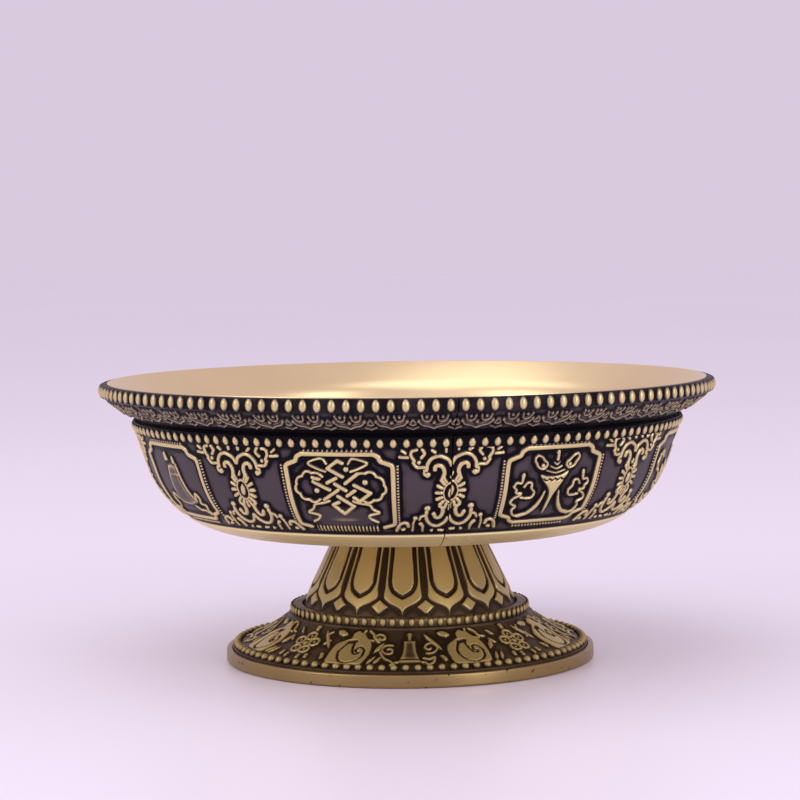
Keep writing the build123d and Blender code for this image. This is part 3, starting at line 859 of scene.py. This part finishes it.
# A piece set round by that ring. Steps of a given size leave the ring open, and its ends are filled
def set_round(piece, count, first_turn, finish, step=None):
    ring = piece.modifiers.new("ring of copies", "NODES")
    ring.node_group = copy_ring
    values = {"Count": count, "First Turn": first_turn, "Step": step or 2 * pi / count, "Finish": finish}
    for socket in copy_ring.interface.items_tree:
        if socket.in_out == "INPUT" and socket.name in values:
            ring[socket.identifier] = values[socket.name]
    seen = bpy.context.evaluated_depsgraph_get()
    mesh = bpy.data.meshes.new_from_object(piece.evaluated_get(seen))
    piece.modifiers.clear()
    if step:
        work = bmesh.new()
        work.from_mesh(mesh)
        ends = bmesh.ops.holes_fill(work, edges=[e for e in work.edges if e.is_boundary])["faces"]
        for face in ends:
            face.smooth = False
        work.to_mesh(mesh)
        work.free()
    piece.data = mesh
    return piece


# One bead on the front: oval foot, rounded rise, drawn to a point at its top if asked
def bead(name, seat, out_way, width, height, rise, pointed=0.0):
    sides, tiers, sunk = 10, 4, 0.15
    up_way = np.array((-out_way[1], out_way[0]))
    points, wear = [], []
    for tier in range(tiers):
        t = tier / tiers * pi / 2
        lift = rise * sin(t) if tier else -sunk
        for side in range(sides):
            a = side / sides * 2 * pi
            tall = sin(a) * cos(t)
            wide = cos(a) * cos(t) * (1 - pointed * max(tall, 0))
            at = seat + up_way * tall * height / 2 + out_way * lift
            points.append((wide * width / 2, -at[0], at[1]))
            wear.append(0.34 + 0.5 * sin(t) if tier else 0.0)
    top = seat + out_way * rise
    points.append((0, -top[0], top[1]))
    wear.append(1.0)
    last = sides * (tiers - 1)
    faces = grid_faces(tiers, sides, False, True)
    faces += [(last + side, last + (side + 1) % sides, last + sides) for side in range(sides)]
    faces.append(list(range(sides - 1, -1, -1)))
    piece = piece_from(name, points, faces)
    keep_wear(piece, wear)
    return piece


wall_way = np.array((cos(wall_slope), -sin(wall_slope)))
bead_seat = on_wall(strip_rise - bead_land / 2, ground + 0.1)
wall_bead = bead("wall_beads", bead_seat, wall_way, width=1.45, height=2.0, rise=0.55, pointed=0.3)
wall_beads = set_round(wall_bead, bead_count, 0.0, relief_antique)
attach(wall_beads, "root")
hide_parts("wall_strip")

# Rim strip
# A second cast strip, soldered under the flared lip: a lambrequin border of hanging lobes on the
# flange's underside, and an upright edge with a row of tall oval beads below the bright lip.
rim_thickness = 1.7
rim_wall = 1.1
rim_step = 0.3
rim_gap = 1.3
rim_bead_rise = 0.7
rim_parts = 4
lobe_count = 48
lobe_rise = 0.45
lobe_wear = 0.64
rim_back_wear = 0.05
outwards = np.array((1.0, 0.0))
rim_radius = lip_radius + rim_wall
rim_top = total_height - rim_step
rim_cut = shoulder_radius + rim_gap
flange_way = np.array((sin(flange_slope), -cos(flange_slope)))
under_low, under_high = (on_flange(radius, rim_thickness - lobe_rise) for radius in (rim_cut, rim_radius))
rim_foot = on_flange(rim_radius, rim_thickness)[1]
border_long = np.linalg.norm(under_high - under_low)


# One lobe of the lambrequin: brace-shaped edge with a dot and two hooks, half a crown at each side
def lambrequin(r):
    edge = rim_middle_radius * lobe_half
    r.wire(smooth((0, 0.8), (0.9, 1.45), (2.0, 1.85), (2.6, 2.7)), 0.44, both=True)
    r.wire(smooth((0.3, 1.6), (1.0, 2.1), (1.9, 2.5), (2.3, 3.0)), 0.3, 0.7, both=True)
    r.ball(0, 2.45, 0.4, stretch=1.4)
    r.wire(smooth((2.3, 4.7), (2.0, 3.5), (1.35, 2.95), (0.75, 3.3), (0.5, 4.5)), 0.38, both=True)
    r.ball(1.4, 4.2, 0.34, 0.9, both=True, stretch=1.4)
    r.wire(smooth((edge - 1.1, 1.0), (edge - 0.4, 0.6), (edge, 0.2)), 0.38, 0.7, both=True)
    r.ball(edge - 1.0, 2.9, 0.38, both=True, stretch=1.4)
    r.wire([(edge - 0.55, 2.1), (edge, 1.8)], 0.4, both=True)
    r.wire([(edge - 0.45, 2.6), (edge, 3.5)], 0.34, both=True)


rim_middle_radius = (rim_cut + rim_radius) / 2
lobe_half = (pi - seam_gap / 2 / rim_radius) / lobe_count
lobe_rows = np.linspace(0, border_long - 0.15, 44)
turn = np.linspace(-lobe_half, lobe_half, 57)[None, :]
base = under_low[:, None] + (under_high - under_low)[:, None] / border_long * lobe_rows
lobe = Relief(base[0][:, None] * turn, lobe_rows[:, None] + 0 * turn)
lambrequin(lobe)
wear = wear_of(lobe.height, 3) * lobe_wear
face = [base[i][:, None] + flange_way[i] * lobe_rise * lobe.height for i in (0, 1)]
rim_back = eased(
    [
        (rim_radius - 0.35, rim_foot - 0.1, 0.15),
        (rim_radius, rim_foot + 0.15, 0.15),
        (rim_radius, rim_top, 0.25),
        (lip_radius + 0.02, rim_top, 0),
        (*on_flange(lip_radius, 0.02), 0),
        (*on_flange(rim_cut, 0.02), 0),
    ],
    4,
)
rim_pieces = []
lobes = lobe_count // rim_parts
for number in range(rim_parts):
    first_turn = seam_angle + seam_gap / 2 / rim_radius + (2 * number * lobes + 1) * lobe_half
    unit = relief_piece(f"rim_strip_border_{number + 1}", turn, face, rim_back, wear, rim_back_wear)
    rim_pieces.append(set_round(unit, lobes, first_turn, relief_antique, 2 * lobe_half))
rim_middle = np.array((rim_radius - 0.05, (rim_foot + rim_top) / 2))
rim_bead = bead("rim_beads", rim_middle, outwards, width=1.65, height=2.5, rise=rim_bead_rise, pointed=0.1)
rim_beads = set_round(rim_bead, bead_count, 0.0, relief_antique)
for piece in (*rim_pieces, rim_beads):
    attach(piece, "root")
    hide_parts("rim_strip")

# Lotus pedestal
# Hollow cast cone under the bowl, closed by a web that the stud goes through. Fourteen petals hang
# down it, each a flat tongue in a bold outline with a pointed tip, with small diamonds between tips.
pedestal_top = 12.66
pedestal_foot = 21.0
pedestal_wall = 1.6
web = 2.0
disc = 1.2
disc_radius = 7.0
disc_slip = 0.1
ledge_height = 9.6
petal_count = 14
petal_angle = radians(8.75)
petal_rise = 0.5
pedestal_back_wear = 0.35
stud_hole = 2.75
cone_drop = foot_height - ledge_height
cone_spread = pedestal_foot - pedestal_top
cone_run = (cone_drop**2 + cone_spread**2) ** 0.5
cone_way = np.array((cone_drop, cone_spread)) / cone_run


# One petal, with y up the cone from its foot
def petal(r):
    sides = ((2.62, cone_run + 1), (2.85, 14), (3.15, 10), (3.42, 7), (3.62, 5.0))
    leaf = smooth(*sides, (2.7, 3.9), (1.2, 3.1), (0.45, 2.5), (0, 1.6))
    r.boss(np.vstack((leaf, leaf[-2::-1] * (-1, 1))), edge=0.25)
    sides = ((1.85, cone_run + 1), (2.06, 14), (2.35, 10), (2.42, 8.2), (2.2, 7.0))
    tongue = smooth(*sides, (1.65, 6.1), (0.9, 5.5), (0.35, 5.2), (0, 5.05))
    r.cut(tongue, 0.85, 1.0, both=True)
    gap = petal_pitch_at_tip / 2
    r.boss([(gap, 4.8), (gap + 1.75, 3.2), (gap, 1.6), (gap - 1.75, 3.2)], 0.85, 0.25, both=True)


petal_half = pi / petal_count
petal_pitch_at_tip = 2 * petal_half * (pedestal_foot - 3.2 * cone_spread / cone_run)
petal_rows = np.linspace(0, cone_run, 94)
turn = np.linspace(-petal_half, petal_half, 49)[None, :]
base_r = pedestal_foot - petal_rows[:, None] * cone_spread / cone_run
base_z = ledge_height + petal_rows[:, None] * cone_drop / cone_run
leaf = Relief(base_r * turn, petal_rows[:, None] + 0 * turn)
petal(leaf)
height = leaf.height * held((leaf.y - 0.3) / 0.3)
face = (base_r + cone_way[0] * petal_rise * height, base_z + cone_way[1] * petal_rise * height)
across = pedestal_wall / cone_way[0]
web_top = foot_height - disc
web_under = web_top - web
inside_middle = (web_under + ledge_height) / 2


# Radius of the bare cone at a height
def cone_radius(level):
    return pedestal_top + (foot_height - level) * cone_spread / cone_drop


pedestal_back = np.array(
    [
        (disc_radius + disc_slip, foot_height),
        (disc_radius + disc_slip, web_top),
        (stud_hole, web_top),
        (stud_hole, web_under),
        (disc_radius, web_under),
        (cone_radius(web_under) - across, web_under),
        (cone_radius(inside_middle) - across, inside_middle),
        (pedestal_foot - across, ledge_height),
    ]
)
foot_antique = antique_brass(
    "antiqued foot brass",
    hollow=(0.040, 0.025, 0.013),
    ground_colour=(0.092, 0.063, 0.036),
    worn_colour=(0.47, 0.355, 0.135),
    blotch=0.3,
    shine=0.6,
)
wear = wear_of(height, 4)
petal_piece = relief_piece("lotus_petals", turn, face, pedestal_back, wear, pedestal_back_wear)
pedestal = set_round(petal_piece, petal_count, petal_angle, foot_antique)
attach(pedestal, "root")
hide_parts("lotus_pedestal")

# Base skirt
# Cast flare under the pedestal: a notched collar, a concave band with bells, flowers and leaf
# swirls on a dark ground, and a row of round beads above the ring. It is soldered to both.
foot_radius = 36.0
ring_height = 2.5
ring_wall = 1.1
ring_width = 4.4
rabbet = 0.8
skirt_wall = 1.5
skirt_edge = 1.1
skirt_dip = 0.5
slope_width = 1.9
slope_rise = 0.7
collar_width = 2.5
collar_rise = 1.3
collar_drop = 0.3
fillet_rise = 0.4
notch_count = 80
foot_bead_count = 96
slip = 0.1
skirt_relief = 0.35
relief_sink = 0.35
tooth_rise = 0.45
ledge_width = 3.5
edge_fade = 0.4
roll_wear, ground_wear = 0.56, 0.12
skirt_turn = radians(12.5)
skirt_repeats = 4
skirt_radius = foot_radius - ring_wall - slip
skirt_under = ring_height - rabbet
edge_top = skirt_under + skirt_edge
flare_foot = np.array((skirt_radius - slope_width, edge_top + slope_rise))
collar_radius = pedestal_foot + collar_width
collar_inner = pedestal_foot + slip
collar_top = ledge_height + collar_rise
collar_foot = ledge_height - collar_drop
flare_top = np.array((collar_radius + 0.1, collar_foot - fillet_rise))
flare_long = np.linalg.norm(flare_top - flare_foot)


# Hand bell with its handle, between curling scrolls
def bell(r):
    body = smooth((1.15, 7.9), (1.25, 5.6), (1.6, 3.6), (2.2, 1.9), (2.3, 1.4))
    r.boss(both_sides(body), 0.7, edge=0.3)
    r.cut([(-2.0, 2.4), (2.0, 2.4)], 0.35, 0.5)
    r.wire([(0, 8.0), (0, 9.6)], 0.7, 0.6)
    r.ball(0, 9.4, 0.6, 0.6)
    r.wire(curl(-3.9, 5.2, 1.6, 60, 420, 0.35, 40), 0.45, 0.8)
    r.wire(curl(-5.3, 8.6, 1.2, 250, -420, 0.3, 36), 0.5, 0.8)
    r.wire(smooth((-5.5, 4.6), (-4.8, 2.8), (-3.6, 1.8), (-3.0, 0.6)), 0.5)
    r.wire(smooth((-2.3, 1.5), (-3.0, 1.2), (-3.6, 0.5)), 0.5, both=True)
    r.wire(curl(3.7, 6.0, 1.8, 250, 430, 0.35, 40), 0.45, 0.8)
    r.wire(smooth((2.6, 2.8), (3.6, 2.4), (4.6, 3.0), (4.4, 1.4), (3.6, 0.6)), 0.5)


# Broad leaf that fills the band, with an incised comma spiral, and smaller leaves round it
def swirl(r):
    left = ((-0.9, 8.2), (-1.9, 7.6), (-3.6, 6.0), (-4.0, 3.0), (-3.5, 0.5), (0, 0.35))
    right = ((3.2, 0.5), (4.0, 2.2), (4.1, 5.0), (3.4, 7.4), (2.0, 8.8), (0.2, 10.2), (-0.9, 9.4))
    r.boss(smooth(*left, *right), edge=0.3)
    bowl_line = ((-1.2, 6.7), (-2.1, 4.0), (-1.0, 1.3), (1.0, 0.9), (2.7, 2.4), (2.9, 4.5))
    r.cut(smooth(*bowl_line, (2.2, 5.7), (1.3, 5.6), (1.2, 4.6), (1.7, 4.3)), 0.5, 1.0)
    r.cut(smooth((0.2, 6.7), (0.4, 5.2), (0.9, 4.0), (1.6, 3.7), (2.0, 4.2)), 0.5, 1.0)
    r.cut([(-0.9, 7.0), (0.3, 7.3)], 1.0, 1.0)
    r.wire(smooth((1.4, 10.4), (1.3, 9.4), (2.4, 8.0), (3.6, 7.8)), 0.5)
    r.wire(smooth((2.2, 10.3), (3.2, 9.4), (3.7, 8.4), (4.8, 8.0)), 0.5)
    r.boss(smooth((-4.4, 9.9), (-3.0, 10.1), (-1.9, 9.2), (-2.8, 8.5), (-4.0, 8.9)), edge=0.3)
    blade = smooth((-7.0, 9.9), (-6.0, 8.8), (-4.9, 6.6), (-4.7, 5.0), (-5.8, 6.4), (-6.8, 8.4))
    r.boss(blade, edge=0.3)
    r.boss(smooth((-5.9, 3.6), (-5.0, 3.6), (-4.6, 2.2), (-5.4, 1.4)), 0.8, edge=0.3)
    for x in (4.9, 6.1):
        r.boss(smooth((x - 0.2, 0.5), (x - 0.3, 2.0), (x + 0.7, 3.6), (x + 0.6, 1.8)), edge=0.25)
    r.boss(smooth((4.7, 4.2), (4.8, 6.0), (6.0, 7.4), (5.8, 5.2)), edge=0.3)


# Open flower: bold round petals about a ball, with strokes of leaf round it
def flower(r):
    for lobe in range(5):
        a = radians(72 * lobe + 18)
        x, y = 1.9 * cos(a), 5.6 + 2.1 * sin(a)
        r.wire(curl(x, y, 1.0, 0, 360, 1.0, 20), 0.55)
        r.ball(x, y, 0.4, 0.8)
    r.ball(0, 5.6, 0.8)
    strokes = ((3.3, 8.6, 0.6), (4.4, 6.4, 0.5), (3.4, 1.8, -0.5), (1.6, 1.4, -0.3), (0, 9.6, 0))
    for x, y, lean in strokes:
        tip = ((x - 0.2 + lean, y + 0.8), (x + 0.5 + lean, y + 0.9))
        r.boss(smooth((x - 0.4, y - 0.6), *tip, (x + 0.4, y - 0.5)), edge=0.25, both=True)


flare_rows = np.linspace(0, 1, 62)
chord = flare_top - flare_foot
inward = np.array((-chord[1], chord[0])) / flare_long
sag = skirt_dip * 4 * flare_rows * (1 - flare_rows)
base = flare_foot[:, None] + chord[:, None] * flare_rows + inward[:, None] * sag
tangent = np.gradient(base, axis=1)
tangent /= np.hypot(*tangent)
normal = np.stack((tangent[1], -tangent[0]))
repeat_half = pi / skirt_repeats
turn = np.linspace(-repeat_half, repeat_half, 264)[None, :]
y = (flare_rows * flare_long)[:, None] + 0 * turn
height = np.zeros(y.shape)
motifs = ((bell, 0.0), (swirl, -23.0), (swirl, 22.0), (flower, -45.0), (flower, 45.0))
for draw_motif, degrees in motifs:
    motif = Relief(base[0][:, None] * (turn - radians(degrees)), y)
    draw_motif(motif)
    height = np.maximum(height, motif.height)
height *= held(y / edge_fade) * held((flare_long - y) / edge_fade)
face = [base[i][:, None] + normal[i][:, None] * skirt_relief * (height - relief_sink) for i in (0, 1)]
ledge_radius = pedestal_foot - ledge_width
ledge_under = ledge_height - skirt_wall
skirt_back = eased(
    [
        (collar_radius + 0.1, collar_foot - 0.1, 0.08),
        (collar_radius - tooth_rise, collar_foot, 0),
        (collar_radius - tooth_rise, collar_top, 0.5),
        (collar_inner, collar_top, 0.15),
        (collar_inner, ledge_height, 0),
        (ledge_radius, ledge_height, 0),
        (ledge_radius, ledge_under, 0),
        (collar_radius - skirt_wall, ledge_under, 0.4),
        (flare_foot[0] - skirt_wall, skirt_under, 0),
        (skirt_radius, skirt_under, 0),
        (skirt_radius, edge_top, 0.12),
    ],
    4,
)
back_wear = np.where(skirt_back[:, 1:] > collar_top - 0.55, roll_wear, ground_wear)
skirt_piece = relief_piece("base_skirt_band", turn, face, skirt_back, wear_of(height, 4), back_wear)
skirt = set_round(skirt_piece, skirt_repeats, skirt_turn, foot_antique)
bead_line = np.array((skirt_radius - 0.95, edge_top + 0.32))
bead_way = np.array((0.35, 0.94))
foot_bead = bead("base_beads", bead_line, bead_way, width=1.6, height=1.75, rise=0.95)
foot_beads = set_round(foot_bead, foot_bead_count, 0.0, foot_antique)
tooth_seat = np.array((collar_radius - tooth_rise, (collar_foot + collar_top) / 2))
tooth_tall = collar_rise + collar_drop + 0.2
tooth = bead("collar_teeth", tooth_seat, outwards, width=1.25, height=tooth_tall, rise=tooth_rise)
collar_teeth = set_round(tooth, notch_count, 0.0, foot_antique)
for piece in (skirt, foot_beads, collar_teeth):
    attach(piece, "root")
    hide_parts("base_skirt")

# Base ring
# Turned brass ring that the whole piece stands on. A rabbet locates the skirt's edge in it.
# It is left bright, with small casting pits and faint turning lines on its outside.
ring_inner = foot_radius - ring_width
ring_section = eased(
    [
        (ring_inner, 0, 0.2),
        (foot_radius, 0, 0.45),
        (foot_radius, ring_height, 0.4),
        (foot_radius - ring_wall, ring_height, 0.12),
        (foot_radius - ring_wall, skirt_under, 0),
        (ring_inner, skirt_under, 0.15),
    ],
    5,
)
ring = turned("base_ring_turned", ring_section, loop=True)
ring_satin = turned_brass(
    "turned ring brass",
    bright=(0.40, 0.285, 0.115),
    tarnished=(0.27, 0.19, 0.08),
    rough=0.36,
    rings_per_metre=2200.0,
    depth=0.00003,
)
pit_colour = (0.03, 0.02, 0.01, 1)
tree = ring_satin.node_tree
shader = tree.nodes["Principled BSDF"]
place = add_node(tree, "ShaderNodeTexCoord").outputs["Object"]
specks = add_node(tree, "ShaderNodeTexNoise", {"Vector": place, "Scale": 1000.0, "Detail": 1.0})
pits = add_node(tree, "ShaderNodeMapRange", {"Value": specks, "From Min": 0.69, "From Max": 0.75})
pitted = {"Factor": pits, "A": shader.inputs["Base Color"].links[0].from_socket, "B": pit_colour}
feed(tree, shader, {"Base Color": add_node(tree, "ShaderNodeMix", pitted, data_type="RGBA")})
ring.data.materials.append(ring_satin)
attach(ring, "root")
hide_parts("base_ring")

# Fastening
# Stud, washer and nut inside the foot: plain machined brass, dulled by handling.
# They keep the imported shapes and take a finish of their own.
fastener_brass = turned_brass(
    "machined fastener brass",
    bright=(0.60, 0.46, 0.22),
    tarnished=(0.36, 0.27, 0.13),
    rough=0.36,
    rings_per_metre=1800.0,
    depth=0.00003,
)
for node in ("foot_stud", "washer", "nut"):
    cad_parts[node].data.materials.clear()
    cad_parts[node].data.materials.append(fastener_brass)

# Floor, light and camera
# A plain pale floor and backdrop, with soft lights from overhead, the right side and the front left.
# The camera is the one that was fitted to the photograph.
floor_half, floor_drop = 4000, 0.05
floor_corners = ((-1, -1), (1, -1), (1, 1), (-1, 1))
floor = piece_from(
    "pale_floor", [(x * floor_half, y * floor_half, -floor_drop) for x, y in floor_corners], [(0, 1, 2, 3)]
)
pale, tree, shader = new_material("pale floor")
place = add_node(tree, "ShaderNodeTexCoord").outputs["Object"]
mottle = add_node(tree, "ShaderNodeTexNoise", {"Vector": place, "Scale": 3.0})
tints = {"Factor": mottle, "A": (0.78, 0.70, 0.81, 1), "B": (0.82, 0.74, 0.85, 1)}
tint = add_node(tree, "ShaderNodeMix", tints, data_type="RGBA")
feed(tree, shader, {"Base Color": tint, "Roughness": 0.35})
floor.data.materials.append(pale)

world = bpy.data.worlds.new("studio")
bpy.context.scene.world = world
world.use_nodes = True
tree = world.node_tree
sky = tree.nodes["Background"]
feed(tree, sky, {"Color": (0.93, 0.87, 0.94, 1), "Strength": 0.97})
backdrop = add_node(tree, "ShaderNodeBackground", {"Color": (0.698, 0.590, 0.734, 1)})
rays = add_node(tree, "ShaderNodeLightPath").outputs
looked_at = {0: rays["Is Camera Ray"], 1: rays["Is Glossy Ray"]}
seen = add_node(tree, "ShaderNodeMath", looked_at, operation="MAXIMUM")
either = add_node(tree, "ShaderNodeMixShader", {"Fac": seen, 1: sky, 2: backdrop})
feed(tree, tree.nodes["World Output"], {"Surface": either})


# A soft light from a rectangle that faces a point
def soft_light(name, power, size, at, aim):
    lamp = bpy.data.lights.new(name, "AREA")
    lamp.energy = power
    lamp.shape = "RECTANGLE"
    lamp.size, lamp.size_y = size
    holder = bpy.data.objects.new(name, lamp)
    bpy.context.scene.collection.objects.link(holder)
    way = np.array(aim) - np.array(at)
    level = np.hypot(way[0], way[1])
    turn = atan2(way[1], way[0]) - pi / 2
    tilt = pi / 2 + atan2(way[2], level)
    holder.matrix_world = (
        Matrix.Translation(at) @ Matrix.Rotation(turn, 4, "Z") @ Matrix.Rotation(tilt, 4, "X")
    )


light_aim = (0, 0, 0.03)
soft_light("overhead", 1.7, (0.9, 0.6), (-0.15, -0.15, 0.75), light_aim)
soft_light("right_side", 2.2, (0.3, 0.6), (0.75, -0.55, 0.35), light_aim)
soft_light("front_left", 1.6, (0.5, 0.4), (-0.6, -0.7, 0.45), light_aim)

view_turn = radians(12.7)
view_far, view_high = 0.484, 0.0837
view_down, view_roll = radians(3.94), radians(-0.75)
picture_width, picture_shift = 800, -7
lens = bpy.data.cameras.new("camera")
lens.sensor_width = 36.0
lens.lens = 111.6
lens.shift_x = picture_shift / picture_width
lens.clip_start = 0.01
camera = bpy.data.objects.new("camera", lens)
bpy.context.scene.collection.objects.link(camera)
camera.matrix_world = (
    Matrix.Translation((view_far * sin(view_turn), -view_far * cos(view_turn), view_high))
    @ Matrix.Rotation(view_turn, 4, "Z")
    @ Matrix.Rotation(pi / 2 - view_down, 4, "X")
    @ Matrix.Rotation(view_roll, 4, "Z")
)
bpy.context.scene.camera = camera
bpy.context.scene.view_settings.view_transform = "Standard"
